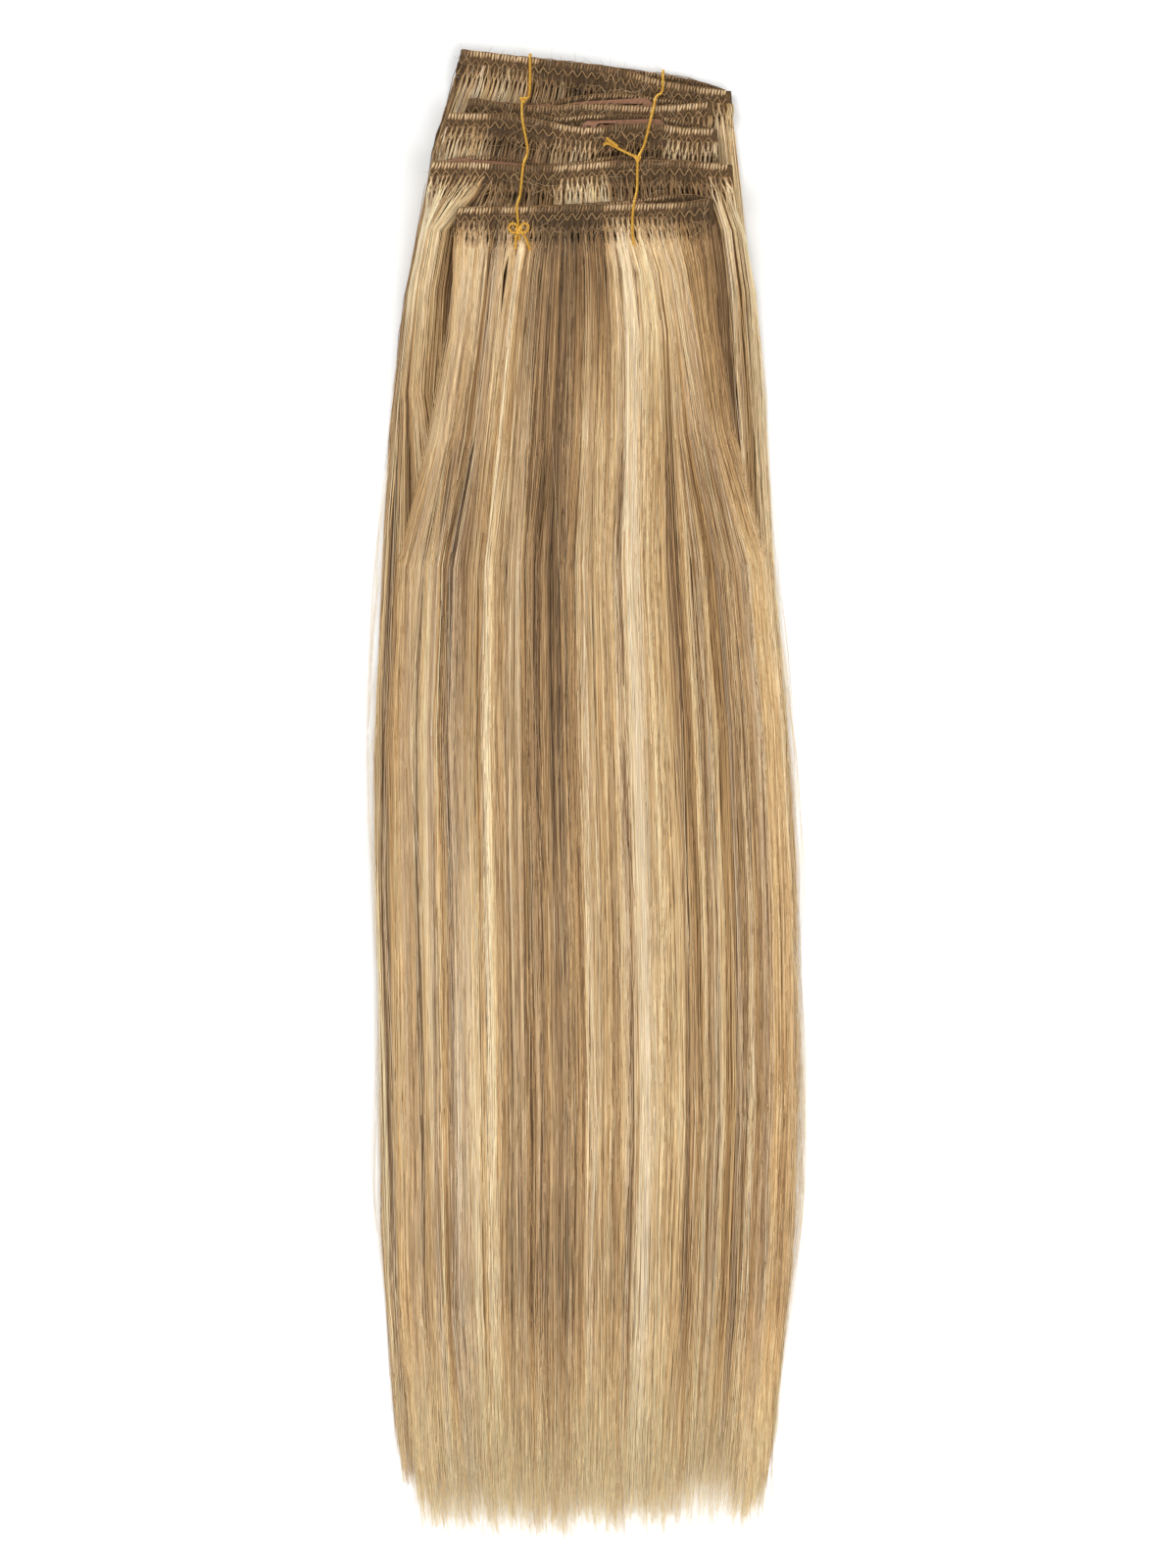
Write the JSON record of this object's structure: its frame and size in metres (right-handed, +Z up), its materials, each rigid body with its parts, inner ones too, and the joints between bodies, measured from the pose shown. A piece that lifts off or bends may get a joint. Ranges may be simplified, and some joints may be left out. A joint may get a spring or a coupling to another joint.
{
  "type": "clip in hair extension",
  "caption": "Bundle of straight highlighted hair wefts, each folded in half with snap clips in its fold and tied with fine gold cords, lying flat.",
  "frame": {"origin": "centre of the bundle's bounding box at the surface that it lies on", "axes": "+Y along the hair, from the tips towards the bands; +Z up through the bundle, from the surface to the front weft; +X across, to the right as the bands are seen from above with the hair hanging down"},
  "size_m": [0.1628, 0.56, 0.0245],
  "materials": {
    "hair": "straight human hair in mixed blonde and brown strands, soft sheen",
    "weft_band": "hair bound and zigzag stitched with fine brown thread",
    "clip": "smooth brown lacquer on spring steel",
    "gold_cord": "twisted metallic gold thread"
  },
  "bodies": {
    "root": {"weft_band_1": "weft_band", "weft_band_2": "weft_band", "weft_band_3": "weft_band", "weft_band_4": "weft_band", "weft_band_5": "weft_band", "hair_1": "hair", "hair_2": "hair", "hair_3": "hair", "hair_4": "hair", "hair_5": "hair", "clip_1_left": "clip", "clip_1_right": "clip", "clip_2_left": "clip", "clip_2_right": "clip", "clip_3_left": "clip", "clip_3_right": "clip", "clip_4_left": "clip", "clip_4_right": "clip", "clip_5_left": "clip", "clip_5_right": "clip", "tie_cord_left": "gold_cord", "tie_cord_right": "gold_cord"}
  },
  "joints": []
}
